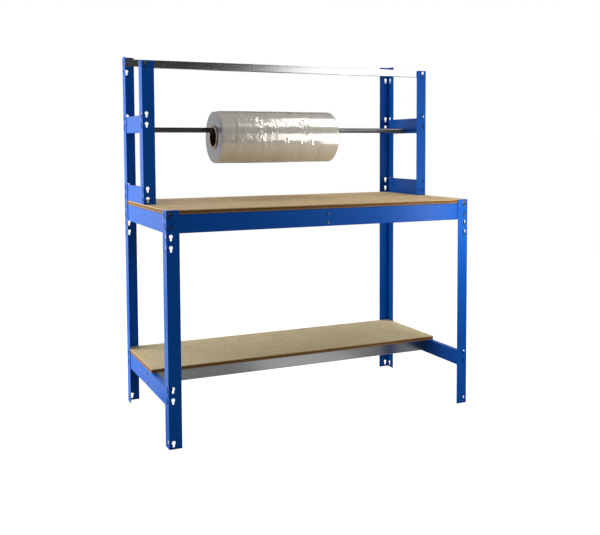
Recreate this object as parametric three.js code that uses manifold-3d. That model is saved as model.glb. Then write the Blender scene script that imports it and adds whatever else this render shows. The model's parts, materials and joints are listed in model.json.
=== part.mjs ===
// Packing bench of bolt-free angle steel, with a wood worktop, a half-depth shelf and an upper frame
// that carries a roll of wrapping film on a loose rod. Millimetres, +Z up, -Y is the front.
// The origin is on the floor, at the middle of the footprint.
import * as THREE from "three";
import { mergeVertices } from "three/addons/utils/BufferGeometryUtils.js";
import Module from "manifold-3d";

const wasm = await Module();
wasm.setup();

// Driving dimensions
const benchWidth = 1220; // over the posts' outer faces
const benchDepth = 610;
const worktopHeight = 815; // top of the board and of the front legs
const overallHeight = 1380; // top of the back posts
const upperFrameTop = 1341;
const upperFrameFront = -5; // Y of the upper posts' front faces
const shelfTop = 220;
const shelfFront = -73; // Y of the shelf board's front edge
const boardThickness = 15;
const boardCornerRadius = 3;
const clearance = 0.3; // between pieces that touch
const bendSteps = 3; // facets round a folded corner
const arcSteps = 3; // facets along an arc of an outline
const overcut = 1; // how far a cutting shape runs past the metal

const post = { flange: 46, sheet: 1.8, bend: 3, endRadius: 6 };
const keyhole = { inset: 16, headRadius: 6.5, slotHalfWidth: 3.5, drop: 12 }; // drop: from head to seat
const stud = { shankRadius: 3.25, headRadius: 5.5, headHeight: 2, pitch: 38.1, facets: 8 };
const beam = { height: 64, sheet: 1.5, bend: 3, ledge: 21, hem: 6, studFromHem: 17, endGap: 5, cope: 22 };
const member = { height: 58, tabWidth: 26, tabHeight: 50 }; // plated cross members that carry the boards
const screw = { shankRadius: 2.5, headRadius: 4.6, headHeight: 2.4, length: 12, pitch: 32, fromHem: 13 };
const rail = { height: 28, flange: 15, studHeight: 7, holeX: 529, holeRadius: 2.5 };
const rollBrace = { bottom: 1079.5, lip: 9, hem: 8, studFromLedge: 19.5, notchDepth: 5 };
const supportX = -18; // the middle cross member's web, under the worktop
const memberWebY = -13; // the shelf cross member's web
const rod = { radius: 10, halfLength: 599, y: 150, facets: 32 };
const core = { innerRadius: 38, outerRadius: 46, overhang: 3, edge: 0.5, facets: 48 };
const film = { radius: 105, width: 508, left: -286, edge: 2, facets: 64 };

// Worked-out heights and faces
const standOff = post.sheet + clearance; // from a post's outer face in to a beam's web
const beamTop = worktopHeight - boardThickness - clearance;
const tableBeamBottom = beamTop - beam.height;
const shelfBeamTop = shelfTop - boardThickness - clearance;
const shelfBeamBottom = shelfBeamTop - beam.height;
const upperFrameBottom = worktopHeight + clearance;
const upperDepth = benchDepth / 2 - upperFrameFront;
const upperMiddleY = (benchDepth / 2 + upperFrameFront) / 2;
const rodHeight = rollBrace.bottom + beam.sheet + rod.radius + clearance;
const coreHeight = rodHeight + rod.radius + clearance - core.innerRadius;
const webInnerX = benchWidth / 2 - standOff - beam.sheet;
const webInnerY = benchDepth / 2 - standOff - beam.sheet;

// Seat heights, where the studs rest in the posts' keyholes
const pairFrom = (low) => [low, low + stud.pitch];
const footSeat = 10.5;
const shelfSeats = pairFrom(shelfBeamBottom + beam.studFromHem);
const tableSeats = pairFrom(tableBeamBottom + beam.studFromHem);
const sparePitches = 2; // the spare pair is this many pitches below the worktop's
const spareSeats = tableSeats.map((seat) => seat - sparePitches * stud.pitch);
const lowBraceSeats = pairFrom(upperFrameBottom + beam.height - beam.studFromHem - stud.pitch);
const rollBraceSeats = pairFrom(rollBrace.bottom + rollBrace.studFromLedge);
const frontRailSeat = 1320;
const backRailSeats = pairFrom(1313);
const legSeats = [footSeat, ...shelfSeats, ...spareSeats, ...tableSeats];
const braceSeats = [...lowBraceSeats, ...rollBraceSeats];

const powderCoat = new THREE.MeshStandardMaterial({ color: 0x0b4aa6, roughness: 0.42, metalness: 0 });
const zincPlate = new THREE.MeshStandardMaterial({ color: 0xb4b8bc, roughness: 0.36, metalness: 1 });
const fibreboard = new THREE.MeshStandardMaterial({ color: 0xb79d74, roughness: 0.85, metalness: 0 });
const darkSteel = new THREE.MeshStandardMaterial({ color: 0x3b3b3d, roughness: 0.35, metalness: 1 });
const cardboard = new THREE.MeshStandardMaterial({ color: 0xa88762, roughness: 0.9, metalness: 0 });
const clearFilm = new THREE.MeshStandardMaterial({ color: 0xc4bcba, roughness: 0.25, metalness: 0 });

const alongX = new THREE.Vector3(1, 0, 0);
const alongY = new THREE.Vector3(0, 1, 0);
const alongZ = new THREE.Vector3(0, 0, 1);
const layFlat = new THREE.Matrix4().makeBasis(alongY, alongZ, alongX); // drawn x, y, depth become Y, Z, X

// A closed geometry as a solid for joining and cutting.
function solid(geometry) {
  geometry.deleteAttribute("normal");
  geometry.deleteAttribute("uv");
  const merged = mergeVertices(geometry, 1e-3);
  const vertProperties = merged.attributes.position.array;
  const triVerts = new Uint32Array(merged.index.array);
  return new wasm.Manifold(new wasm.Mesh({ numProp: 3, vertProperties, triVerts }));
}

function extruded(shape, depth) {
  return new THREE.ExtrudeGeometry(shape, { depth, curveSegments: arcSteps, bevelEnabled: false });
}

function block(x0, x1, y0, y1, z0, z1) {
  const box = new THREE.BoxGeometry(x1 - x0, y1 - y0, z1 - z0);
  return solid(box.translate((x0 + x1) / 2, (y0 + y1) / 2, (z0 + z1) / 2));
}

// A round bar along Y.
function pin(radius, y0, y1, x, z, facets) {
  const bar = new THREE.CylinderGeometry(radius, radius, y1 - y0, facets);
  return solid(bar.translate(x, (y0 + y1) / 2, z));
}

// A folded sheet's outline. The corners follow its outer face, and every bend turns the same way.
function foldedSection(corners, sheet, bend) {
  const first = corners[0];
  const last = corners.at(-1);
  const outside = [];
  const inside = [];
  corners.slice(1, -1).forEach((corner, i) => {
    const back = corners[i].clone().sub(corner).normalize();
    const ahead = corners[i + 2].clone().sub(corner).normalize();
    const centre = corner.clone().addScaledVector(back, bend).addScaledVector(ahead, bend);
    if (i === 0) inside.push(first.clone().addScaledVector(ahead, sheet));
    for (let step = 0; step <= bendSteps; step++) {
      const angle = ((step / bendSteps) * Math.PI) / 2;
      const outward = ahead.clone().multiplyScalar(-Math.cos(angle)).addScaledVector(back, -Math.sin(angle));
      outside.push(centre.clone().addScaledVector(outward, bend));
      inside.push(centre.clone().addScaledVector(outward, bend - sheet));
    }
    if (i === corners.length - 3) inside.push(last.clone().addScaledVector(back, sheet));
  });
  return new THREE.Shape([first, ...outside, last, ...inside.reverse()]);
}

const points = (...pairs) => pairs.map(([x, y]) => new THREE.Vector2(x, y));

// A folded sheet along X, centred, with its outer face on Y = 0 and its inside towards +Y.
function foldedBar(corners, length) {
  const bar = extruded(foldedSection(points(...corners), beam.sheet, beam.bend), length);
  return solid(bar.translate(0, 0, -length / 2).applyMatrix4(layFlat));
}

// A keyhole's outline with its seat at the given place: a round head over a narrow slot.
function keyholeShape(x, seat) {
  const opening = Math.asin(keyhole.slotHalfWidth / keyhole.headRadius);
  const shape = new THREE.Shape();
  const headY = seat + keyhole.drop;
  shape.absarc(x, headY, keyhole.headRadius, opening - Math.PI / 2, 1.5 * Math.PI - opening, false);
  shape.absarc(x, seat, keyhole.slotHalfWidth, Math.PI, 2 * Math.PI, false);
  return extruded(shape, post.sheet + 2 * overcut);
}

// The waste that rounds off a flange's free top corner.
function cornerWaste(height) {
  const { flange, endRadius } = post;
  const shape = new THREE.Shape();
  shape.moveTo(flange + overcut, height - endRadius);
  shape.absarc(flange - endRadius, height - endRadius, endRadius, 0, Math.PI / 2, false);
  shape.lineTo(flange - endRadius, height + overcut);
  shape.lineTo(flange + overcut, height + overcut);
  return extruded(shape, post.sheet + 2 * overcut);
}

function onFrontFlange(cut) {
  return solid(cut.clone().rotateX(Math.PI / 2).translate(0, post.sheet + overcut, 0));
}

function onSideFlange(cut) {
  return solid(cut.clone().applyMatrix4(layFlat).translate(-overcut, 0, 0));
}

// An angle post with its outer corner on the Z axis and its flanges along +X and +Y.
function anglePost(height, seats) {
  const corners = points([post.flange, 0], [0, 0], [0, post.flange]);
  let body = solid(extruded(foldedSection(corners, post.sheet, post.bend), height));
  const cuts = [cornerWaste(height), ...seats.map((seat) => keyholeShape(keyhole.inset, seat))];
  for (const cut of cuts) body = body.subtract(onFrontFlange(cut)).subtract(onSideFlange(cut));
  return body;
}

// Joins studs to a bar's outer face, at both ends, where the posts' keyholes are.
function withStuds(body, span, heights) {
  const x = span / 2 - keyhole.inset;
  const headFace = -(standOff + clearance);
  for (const z of heights) {
    for (const side of [-1, 1]) {
      const intoHead = headFace - stud.headHeight / 2;
      const shank = pin(stud.shankRadius, intoHead, beam.sheet / 2, side * x, z, stud.facets);
      const head = pin(stud.headRadius, headFace - stud.headHeight, headFace, side * x, z, stud.facets);
      body = body.add(shank).add(head);
    }
  }
  return body;
}

function screwHole(x, z) {
  return pin(screw.shankRadius + clearance, -overcut, beam.sheet + overcut, x, z, stud.facets);
}

// A C-section beam with a wide ledge on top for a board and a narrow hem below.
function ledgeBeam(span, { coped = false, holesAt = null } = {}) {
  const { height, ledge, hem, studFromHem, endGap, cope, sheet } = beam;
  const length = span - 2 * endGap;
  let body = foldedBar([[hem, 0], [0, 0], [0, height], [ledge, height]], length);
  if (coped) {
    for (const side of [-1, 1]) {
      const middle = side * (length / 2);
      const waste = block(middle - cope, middle + cope, sheet, ledge + overcut, -overcut, height + overcut);
      body = body.subtract(waste);
    }
  }
  if (holesAt !== null) {
    body = body.subtract(screwHole(holesAt, screw.fromHem));
    body = body.subtract(screwHole(holesAt, screw.fromHem + screw.pitch));
  }
  return withStuds(body, span, pairFrom(studFromHem));
}

// An upper side brace that sits on its ledge.
function lowBrace() {
  const { height, ledge, hem, studFromHem, endGap } = beam;
  const corners = [[hem, height], [0, height], [0, 0], [ledge, 0]];
  const body = foldedBar(corners, upperDepth - 2 * endGap);
  return withStuds(body, upperDepth, pairFrom(height - studFromHem - stud.pitch));
}

// An upper side brace whose ledge carries the rod, in a notch through the ledge's turned-up lip.
function rodBrace() {
  const { height, ledge, sheet, endGap } = beam;
  const { lip, hem, notchDepth } = rollBrace;
  const half = upperDepth / 2 - endGap;
  const notch = rod.radius + clearance;
  const body = foldedBar([[0, height], [0, 0], [ledge, 0], [ledge, lip]], 2 * half)
    .add(block(-half, half, sheet / 2, 2 * sheet, height - hem, height))
    .subtract(block(-notch, notch, ledge - notchDepth, ledge + overcut, sheet, lip + overcut));
  return withStuds(body, upperDepth, pairFrom(rollBrace.studFromLedge));
}

// A plated C-section with a tab at each end, screwed between two beams' webs.
function crossMember(span) {
  const { ledge, hem, sheet, cope } = beam;
  const { height, tabWidth, tabHeight } = member;
  const half = span / 2 - clearance;
  const firstHole = screw.fromHem - (beam.height - height);
  let body = foldedBar([[hem, 0], [0, 0], [0, height], [ledge, height]], 2 * half);
  for (const side of [-1, 1]) {
    const end = side * half;
    const inner = end - side * sheet;
    body = body.subtract(
      block(end - cope, end + cope, -overcut, ledge + overcut, height - beam.bend, height + overcut),
    );
    const [tab0, tab1] = side < 0 ? [end, inner] : [inner, end];
    body = body.add(block(tab0, tab1, sheet / 2, tabWidth, beam.bend, tabHeight));
    for (const z of [firstHole, firstHole + screw.pitch]) {
      const radius = screw.shankRadius + clearance;
      const hole = new THREE.CylinderGeometry(radius, radius, 2 * (sheet + overcut), stud.facets);
      body = body.subtract(solid(hole.rotateZ(Math.PI / 2).translate(end, tabWidth / 2, z)));
    }
  }
  return body;
}

// A plated channel along the top of the upper frame.
function topRail() {
  const { height, flange, studHeight, holeX, holeRadius } = rail;
  const corners = [[flange, 0], [0, 0], [0, height], [flange, height]];
  let body = foldedBar(corners, benchWidth - 2 * beam.endGap);
  for (const x of [-holeX, holeX]) {
    body = body.subtract(pin(holeRadius, -overcut, beam.sheet + overcut, x, height / 2, stud.facets));
  }
  return withStuds(body, benchWidth, [studHeight]);
}

// A pan-head screw along +Y, with its head's underside just off the face Y = 0.
function panScrew() {
  const { shankRadius, headRadius, headHeight, length } = screw;
  const shank = pin(shankRadius, -clearance - headHeight / 2, length, 0, 0, stud.facets);
  return shank.add(pin(headRadius, -clearance - headHeight, -clearance, 0, 0, stud.facets));
}

function board(x0, x1, y0, y1) {
  const r = boardCornerRadius;
  const shape = new THREE.Shape();
  shape.absarc(x1 - r, y0 + r, r, -Math.PI / 2, 0, false);
  shape.absarc(x1 - r, y1 - r, r, 0, Math.PI / 2, false);
  shape.absarc(x0 + r, y1 - r, r, Math.PI / 2, Math.PI, false);
  shape.absarc(x0 + r, y0 + r, r, Math.PI, 1.5 * Math.PI, false);
  return solid(extruded(shape, boardThickness));
}

// A thick-walled tube along X, with its outer edges eased.
function sleeve(innerRadius, outerRadius, x0, x1, edge, facets) {
  const profile = points(
    [innerRadius, x0],
    [outerRadius - edge, x0],
    [outerRadius, x0 + edge],
    [outerRadius, x1 - edge],
    [outerRadius - edge, x1],
    [innerRadius, x1],
    [innerRadius, x0],
  );
  return solid(new THREE.LatheGeometry(profile, facets).rotateZ(-Math.PI / 2));
}

function piece(group, name, body, material) {
  const { vertProperties, triVerts } = body.getMesh();
  const geometry = new THREE.BufferGeometry();
  geometry.setAttribute("position", new THREE.BufferAttribute(vertProperties, 3));
  geometry.setIndex(new THREE.BufferAttribute(triVerts, 1));
  geometry.computeVertexNormals();
  const mesh = new THREE.Mesh(geometry, material);
  mesh.name = name;
  group.add(mesh);
  return mesh;
}

// Turns a bar so that its outer face lies along one side of the bench, inside the posts.
function against(mesh, side, z, middleY = 0) {
  const turns = { front: 0, right: 1, back: 2, left: 3 }; // quarter turns about Z
  const alongSide = side === "left" || side === "right";
  const reach = (alongSide ? benchWidth : benchDepth) / 2 - standOff;
  const outward = { front: [0, -1], right: [1, 0], back: [0, 1], left: [-1, 0] }[side];
  mesh.rotation.z = (turns[side] * Math.PI) / 2;
  mesh.position.set(outward[0] * reach, outward[1] * reach + middleY, z);
}

const bench = new THREE.Group();
const posts = new THREE.Group();
const worktop = new THREE.Group();
const shelf = new THREE.Group();
const upperFrame = new THREE.Group();
const rollHolder = new THREE.Group();
bench.add(posts, worktop, shelf, upperFrame, rollHolder);

const sides = { left: -1, right: 1 };

// Posts: the back pair runs on up past the worktop, and a short pair stands on the board.
for (const [side, sign] of Object.entries(sides)) {
  const cornerX = (sign * benchWidth) / 2;
  const leg = piece(posts, `front_${side}_leg`, anglePost(worktopHeight, legSeats), powderCoat);
  leg.position.set(cornerX, -benchDepth / 2, 0);
  leg.scale.set(-sign, 1, 1);

  const backSeats = [...legSeats, ...braceSeats, ...backRailSeats];
  const backPost = piece(posts, `back_${side}_post`, anglePost(overallHeight, backSeats), powderCoat);
  backPost.position.set(cornerX, benchDepth / 2, 0);
  backPost.scale.set(-sign, -1, 1);

  const upperSeats = [...braceSeats, frontRailSeat].map((seat) => seat - upperFrameBottom);
  const upperBody = anglePost(upperFrameTop - upperFrameBottom, upperSeats);
  const upperPost = piece(upperFrame, `upper_${side}_post`, upperBody, powderCoat);
  upperPost.position.set(cornerX, upperFrameFront, upperFrameBottom);
  upperPost.scale.set(-sign, 1, 1);
}

// Worktop: four beams, a board on their ledges and a cross member under its middle.
const supportScrewX = supportX + member.tabWidth / 2;
const frontBeam = ledgeBeam(benchWidth, { holesAt: supportScrewX });
const backBeam = ledgeBeam(benchWidth, { holesAt: -supportScrewX });
const sideBeam = ledgeBeam(benchDepth, { coped: true, holesAt: 0 });
against(piece(worktop, "table_front_beam", frontBeam, powderCoat), "front", tableBeamBottom);
against(piece(worktop, "table_back_beam", backBeam, powderCoat), "back", tableBeamBottom);
for (const side of Object.keys(sides)) {
  against(piece(worktop, `table_${side}_beam`, sideBeam, powderCoat), side, tableBeamBottom);
}
const boardX = benchWidth / 2 - standOff;
const boardY = benchDepth / 2 - standOff;
const tableBoard = piece(worktop, "table_board", board(-boardX, boardX, -boardY, boardY), fibreboard);
tableBoard.position.z = worktopHeight - boardThickness;
const support = piece(worktop, "table_centre_support", crossMember(2 * webInnerY), zincPlate);
support.rotation.z = -Math.PI / 2;
support.position.set(supportX, 0, beamTop - member.height);

// Shelf: blue beams at the sides and the back, and a plated cross member under the board's front.
const plainBackBeam = ledgeBeam(benchWidth, { holesAt: 0 });
against(piece(shelf, "shelf_back_beam", plainBackBeam, powderCoat), "back", shelfBeamBottom);
for (const side of Object.keys(sides)) {
  against(piece(shelf, `shelf_${side}_beam`, sideBeam, powderCoat), side, shelfBeamBottom);
}
const shelfMember = piece(shelf, "shelf_cross_member", crossMember(2 * webInnerX), zincPlate);
shelfMember.position.set(0, memberWebY, shelfBeamTop - member.height);
const shelfBoard = piece(shelf, "shelf_board", board(-boardX, boardX, shelfFront, boardY), fibreboard);
shelfBoard.position.z = shelfTop - boardThickness;

// Screws: two through each beam's middle holes, into the cross member's tab.
for (const [row, height] of [screw.fromHem, screw.fromHem + screw.pitch].entries()) {
  const level = ["lower", "upper"][row];
  for (const side of ["front", "back"]) {
    const held = piece(worktop, `support_screw_${side}_${level}`, panScrew(), zincPlate);
    against(held, side, tableBeamBottom + height);
    held.position.x = supportScrewX;
  }
  for (const side of Object.keys(sides)) {
    const held = piece(shelf, `shelf_screw_${side}_${level}`, panScrew(), zincPlate);
    against(held, side, shelfBeamBottom + height, memberWebY + member.tabWidth / 2);
  }
}

// Upper frame: two braces each side, and a rail along the front and the back.
for (const side of Object.keys(sides)) {
  const low = piece(upperFrame, `upper_${side}_low_brace`, lowBrace(), powderCoat);
  against(low, side, upperFrameBottom, upperMiddleY);
  const rodRest = piece(upperFrame, `upper_${side}_rod_brace`, rodBrace(), powderCoat);
  against(rodRest, side, rollBrace.bottom, upperMiddleY);
}
const frontRail = piece(upperFrame, "top_front_rail", topRail(), zincPlate);
frontRail.position.set(0, upperFrameFront + standOff, frontRailSeat - rail.studHeight);
const backRail = piece(upperFrame, "top_back_rail", topRail(), zincPlate);
against(backRail, "back", backRailSeats[1] - rail.studHeight);

// Roll: the core hangs on the rod, so its axis is lower than the rod's.
const rodBar = new THREE.CylinderGeometry(rod.radius, rod.radius, 2 * rod.halfLength, rod.facets);
const rollRod = piece(rollHolder, "roll_rod", solid(rodBar.rotateZ(Math.PI / 2)), darkSteel);
rollRod.position.set(0, rod.y, rodHeight);
const filmRight = film.left + film.width;
const coreLeft = film.left - core.overhang;
const coreRight = filmRight + core.overhang;
const coreTube = sleeve(core.innerRadius, core.outerRadius, coreLeft, coreRight, core.edge, core.facets);
const filmCore = piece(rollHolder, "film_core", coreTube, cardboard);
filmCore.position.set(0, rod.y, coreHeight);
const filmInner = core.outerRadius + clearance;
const windings = sleeve(filmInner, film.radius, film.left, filmRight, film.edge, film.facets);
const filmRoll = piece(rollHolder, "film_roll", windings, clearFilm);
filmRoll.position.set(0, rod.y, coreHeight);

export default bench;
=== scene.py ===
import json
import math

import bmesh
import bpy
from mathutils import Matrix, Vector, noise


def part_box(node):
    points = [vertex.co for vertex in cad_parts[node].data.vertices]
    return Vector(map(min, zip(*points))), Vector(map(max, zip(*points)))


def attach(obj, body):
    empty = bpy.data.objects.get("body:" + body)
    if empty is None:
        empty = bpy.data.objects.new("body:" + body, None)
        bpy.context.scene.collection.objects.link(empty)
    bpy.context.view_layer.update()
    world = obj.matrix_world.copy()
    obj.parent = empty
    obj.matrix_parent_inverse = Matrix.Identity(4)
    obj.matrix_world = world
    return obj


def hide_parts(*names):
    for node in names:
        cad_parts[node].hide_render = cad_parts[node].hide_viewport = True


# Packing bench: blue keyhole posts and stud beams, wood boards, zinc rails, and stretch film on a steel rod.
# Each piece is built in metres where its frame node lies, rides on that node's body and replaces the node.
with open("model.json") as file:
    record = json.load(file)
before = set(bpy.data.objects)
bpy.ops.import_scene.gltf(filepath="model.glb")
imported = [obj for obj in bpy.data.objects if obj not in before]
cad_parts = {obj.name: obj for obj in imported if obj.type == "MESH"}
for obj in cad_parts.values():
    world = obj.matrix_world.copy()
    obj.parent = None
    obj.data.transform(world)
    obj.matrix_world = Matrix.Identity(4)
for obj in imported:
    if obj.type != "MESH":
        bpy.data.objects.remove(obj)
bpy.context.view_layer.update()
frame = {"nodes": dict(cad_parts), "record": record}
print("frame loaded:", len(frame["nodes"]), "nodes")

bodyOf = {node: body for body, nodes in frame["record"]["behaviour"]["bodies"].items() for node in nodes}


def mm(value):
    return value / 1000


def perMetre(size):
    # how many cells of a pattern fit in a metre, from one cell's size in millimetres
    return 1000 / size


def srgb(code):
    # '#rrggbb' to the linear colour that shaders want
    parts = [int(code[i:i + 2], 16) / 255 for i in (1, 3, 5)]
    return [c / 12.92 if c <= 0.04045 else ((c + 0.055) / 1.055) ** 2.4 for c in parts] + [1.0]


def addNode(tree, kind, settings=None, links=None):
    node = tree.nodes.new(kind)
    for key, value in (settings or {}).items():
        if isinstance(key, int) or key in node.inputs:
            node.inputs[key].default_value = value
        else:
            setattr(node, key, value)
    for key, source in (links or {}).items():
        tree.links.new(source, node.inputs[key])
    return node


def newMaterial(name):
    material = bpy.data.materials.new(name)
    material.use_nodes = True
    tree = material.node_tree
    tree.nodes.clear()
    shader = addNode(tree, "ShaderNodeBsdfPrincipled")
    output = addNode(tree, "ShaderNodeOutputMaterial")
    tree.links.new(shader.outputs[0], output.inputs[0])
    place = addNode(tree, "ShaderNodeTexCoord").outputs["Object"]
    return material, tree, shader, place


def setShader(shader, **values):
    # what is the same all over the surface
    names = {
        "metallic": "Metallic", "roughness": "Roughness", "ior": "IOR", "specular": "Specular IOR Level",
        "coat": "Coat Weight", "coatRoughness": "Coat Roughness",
    }
    for key, value in values.items():
        shader.inputs[names[key]].default_value = value


def feedShader(tree, shader, sources):
    # what changes over the surface
    for socket, source in sources.items():
        tree.links.new(source, shader.inputs[socket])


def newObject(name, bm, smoothAngle=40):
    mesh = bpy.data.meshes.new(name)
    bm.to_mesh(mesh)
    bm.free()
    mesh.shade_smooth()
    mesh.set_sharp_from_angle(angle=math.radians(smoothAngle))
    obj = bpy.data.objects.new(name, mesh)
    bpy.context.scene.collection.objects.link(obj)
    return obj


def bakeModifiers(obj):
    # swaps the mesh for what its modifiers make
    made = obj.evaluated_get(bpy.context.evaluated_depsgraph_get())
    mesh = bpy.data.meshes.new_from_object(made)
    obj.modifiers.clear()
    old = obj.data
    obj.data = mesh
    bpy.data.meshes.remove(old)


def cutWith(obj, cutters):
    for cutter in cutters:
        bmesh.ops.recalc_face_normals(cutter, faces=cutter.faces)
        tool = newObject("cutter", cutter)
        boolean = obj.modifiers.new("cut", "BOOLEAN")
        boolean.operation = "DIFFERENCE"
        boolean.solver = "EXACT"
        boolean.object = tool
        bpy.context.view_layer.update()
        bakeModifiers(obj)
        bpy.data.objects.remove(tool)


def reshape(obj, change):
    # runs change(bm) on the object's mesh
    bm = bmesh.new()
    bm.from_mesh(obj.data)
    change(bm)
    bm.to_mesh(obj.data)
    bm.free()


def roundEdges(bm, edges, width, segments):
    bmesh.ops.bevel(bm, geom=edges, offset=width, offset_type="OFFSET", segments=segments, profile=0.5,
                    affect="EDGES", material=-1)


def evenShading(obj):
    # keeps flat faces flat beside rounded edges
    even = obj.modifiers.new("even", "WEIGHTED_NORMAL")
    even.keep_sharp = True


easing = {"segments": 2, "overAngle": 35, "sharpOver": 50}


def easeEdges(obj, width):
    ease = obj.modifiers.new("ease", "BEVEL")
    ease.width = width
    ease.segments = easing["segments"]
    ease.limit_method = "ANGLE"
    ease.angle_limit = math.radians(easing["overAngle"])
    ease.harden_normals = False
    bpy.context.view_layer.update()
    bakeModifiers(obj)
    obj.data.shade_smooth()
    obj.data.set_sharp_from_angle(angle=math.radians(easing["sharpOver"]))
    evenShading(obj)


def placeObject(obj, matrix):
    def change(bm):
        bmesh.ops.transform(bm, matrix=matrix, verts=bm.verts)
        if matrix.determinant() < 0:
            bmesh.ops.reverse_faces(bm, faces=bm.faces)
    reshape(obj, change)


def joinMeshes(obj, other):
    # adds the other's shells to obj and removes it
    reshape(obj, lambda bm: bm.from_mesh(other.data))
    bpy.data.objects.remove(other)


def finishPiece(obj, node, slot, *materials):
    for material in materials:
        obj.data.materials.append(material)
    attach(obj, bodyOf[node])
    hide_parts(node)


# in the look dictionaries a pattern's size is in millimetres, so 1000 / 18 repeats 18 times in a metre;
# a roughness pair is its lowest and highest
powderLook = {
    "base": "#044ea5", "deep": "#04489a", "mottle": 90, "peel": 6, "peelDepth": mm(0.25), "peelBump": 0.25,
    "roughness": (0.33, 0.45), "specular": 0.07,
}


def powderCoat():
    # polyester powder coat, sprayed and baked: even colour and a soft gloss that slight orange peel breaks up
    look = powderLook
    low, high = look["roughness"]
    material, tree, shader, place = newMaterial("bluePowderCoat")
    mottle = addNode(tree, "ShaderNodeTexNoise", {"Scale": perMetre(look["mottle"]), "Detail": 3.0},
                     {"Vector": place})
    shades = {"data_type": "RGBA", 6: srgb(look["deep"]), 7: srgb(look["base"])}
    colour = addNode(tree, "ShaderNodeMix", shades, {0: mottle.outputs[0]})
    # the peel's real cells are about 2 mm; they are drawn at 6 mm so that they show
    peel = addNode(tree, "ShaderNodeTexNoise",
                   {"Scale": perMetre(look["peel"]), "Detail": 2.0, "Roughness": 0.4}, {"Vector": place})
    bump = addNode(tree, "ShaderNodeBump", {"Strength": look["peelBump"], "Distance": look["peelDepth"]},
                   {"Height": peel.outputs[0]})
    shine = addNode(tree, "ShaderNodeMapRange", {"To Min": low, "To Max": high}, {"Value": mottle.outputs[0]})
    feedShader(tree, shader, {"Base Color": colour.outputs[2], "Roughness": shine.outputs[0],
                              "Normal": bump.outputs[0]})
    setShader(shader, ior=1.5, specular=look["specular"])
    return material


zincLook = {
    "light": "#b8b9b9", "dark": "#a4a6a7", "spangle": 11, "streak": 2.5, "streakSquash": 0.01,
    "streakShare": 0.75, "bump": 0.02, "bumpDepth": mm(0.2), "roughness": (0.2, 0.25),
}


def zincPlate(name, along):
    # hot-dip galvanised sheet: crystals called spangle, about a centimetre across, and faint rolling streaks
    look = zincLook
    low, high = look["roughness"]
    material, tree, shader, place = newMaterial(name)
    grain = addNode(tree, "ShaderNodeTexVoronoi", {"Scale": perMetre(look["spangle"]), "Randomness": 1.0},
                    {"Vector": place})
    grey = addNode(tree, "ShaderNodeSeparateColor", {}, {0: grain.outputs["Color"]})
    stretch = [1.0, 1.0, 1.0]
    stretch[along] = look["streakSquash"]
    drawn = addNode(tree, "ShaderNodeMapping", {"Scale": stretch}, {"Vector": place})
    # rolling marks are finer than this; they are drawn 2.5 mm wide so that they show
    streaks = addNode(tree, "ShaderNodeTexNoise", {"Scale": perMetre(look["streak"]), "Detail": 2.0},
                      {"Vector": drawn.outputs[0]})
    both = addNode(tree, "ShaderNodeMix", {"data_type": "FLOAT", 0: look["streakShare"]},
                   {2: grey.outputs[0], 3: streaks.outputs[0]})
    shades = {"data_type": "RGBA", 6: srgb(look["dark"]), 7: srgb(look["light"])}
    colour = addNode(tree, "ShaderNodeMix", shades, {0: both.outputs[0]})
    shine = addNode(tree, "ShaderNodeMapRange", {"To Min": low, "To Max": high}, {"Value": both.outputs[0]})
    bump = addNode(tree, "ShaderNodeBump", {"Strength": look["bump"], "Distance": look["bumpDepth"]},
                   {"Height": both.outputs[0]})
    feedShader(tree, shader, {"Base Color": colour.outputs[2], "Roughness": shine.outputs[0],
                              "Normal": bump.outputs[0]})
    setShader(shader, metallic=1.0)
    return material


tableTint = {"light": "#c1a981", "mid": "#b39a72", "dark": "#9b835c"}
# the shelf's tint is partly the board's own tone and partly painted light: drawn paler to make up for the
# worktop's shade over it
shelfTintPaintedLight = {"light": "#c5b591", "mid": "#b6a782", "dark": "#a19270"}
boardLook = {
    "fibre": 3, "cloud": 60, "flake": 9, "squash": (1.0, 1.8, 1.0), "fibreShare": 0.5, "cloudShare": 0.4,
    "darkAt": 0.2, "midAt": 0.5, "lightAt": 0.8, "bump": 0.3, "bumpDepth": mm(0.3), "roughness": 0.7,
}


def boardFace(name, tint):
    # raw particle board, pressed and sanded: short pale and dark flakes in a tan ground, with no gloss
    look = boardLook
    material, tree, shader, place = newMaterial(name)
    flat = addNode(tree, "ShaderNodeMapping", {"Scale": look["squash"]}, {"Vector": place})
    flakes = addNode(tree, "ShaderNodeTexVoronoi", {"Scale": perMetre(look["flake"])},
                     {"Vector": flat.outputs[0]})
    flakeTone = addNode(tree, "ShaderNodeSeparateColor", {}, {0: flakes.outputs["Color"]})
    fibre = addNode(tree, "ShaderNodeTexNoise", {"Scale": perMetre(look["fibre"]), "Detail": 4.0},
                    {"Vector": flat.outputs[0]})
    cloud = addNode(tree, "ShaderNodeTexNoise", {"Scale": perMetre(look["cloud"]), "Detail": 3.0},
                    {"Vector": place})
    chips = addNode(tree, "ShaderNodeMix", {"data_type": "FLOAT", 0: look["fibreShare"]},
                    {2: flakeTone.outputs[0], 3: fibre.outputs[0]})
    tone = addNode(tree, "ShaderNodeMix", {"data_type": "FLOAT", 0: look["cloudShare"]},
                   {2: chips.outputs[0], 3: cloud.outputs[0]})
    ramp = addNode(tree, "ShaderNodeValToRGB", {}, {0: tone.outputs[0]})
    ramp.color_ramp.elements[0].position = look["darkAt"]
    ramp.color_ramp.elements[0].color = srgb(tint["dark"])
    ramp.color_ramp.elements[1].position = look["lightAt"]
    ramp.color_ramp.elements[1].color = srgb(tint["light"])
    ramp.color_ramp.elements.new(look["midAt"]).color = srgb(tint["mid"])
    bump = addNode(tree, "ShaderNodeBump", {"Strength": look["bump"], "Distance": look["bumpDepth"]},
                   {"Height": tone.outputs[0]})
    feedShader(tree, shader, {"Base Color": ramp.outputs[0], "Normal": bump.outputs[0]})
    setShader(shader, roughness=look["roughness"], ior=1.45, specular=0.35)
    return material


# the rim is paler than the foot: partly the board's dense face, partly a painted highlight along the top edge
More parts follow.
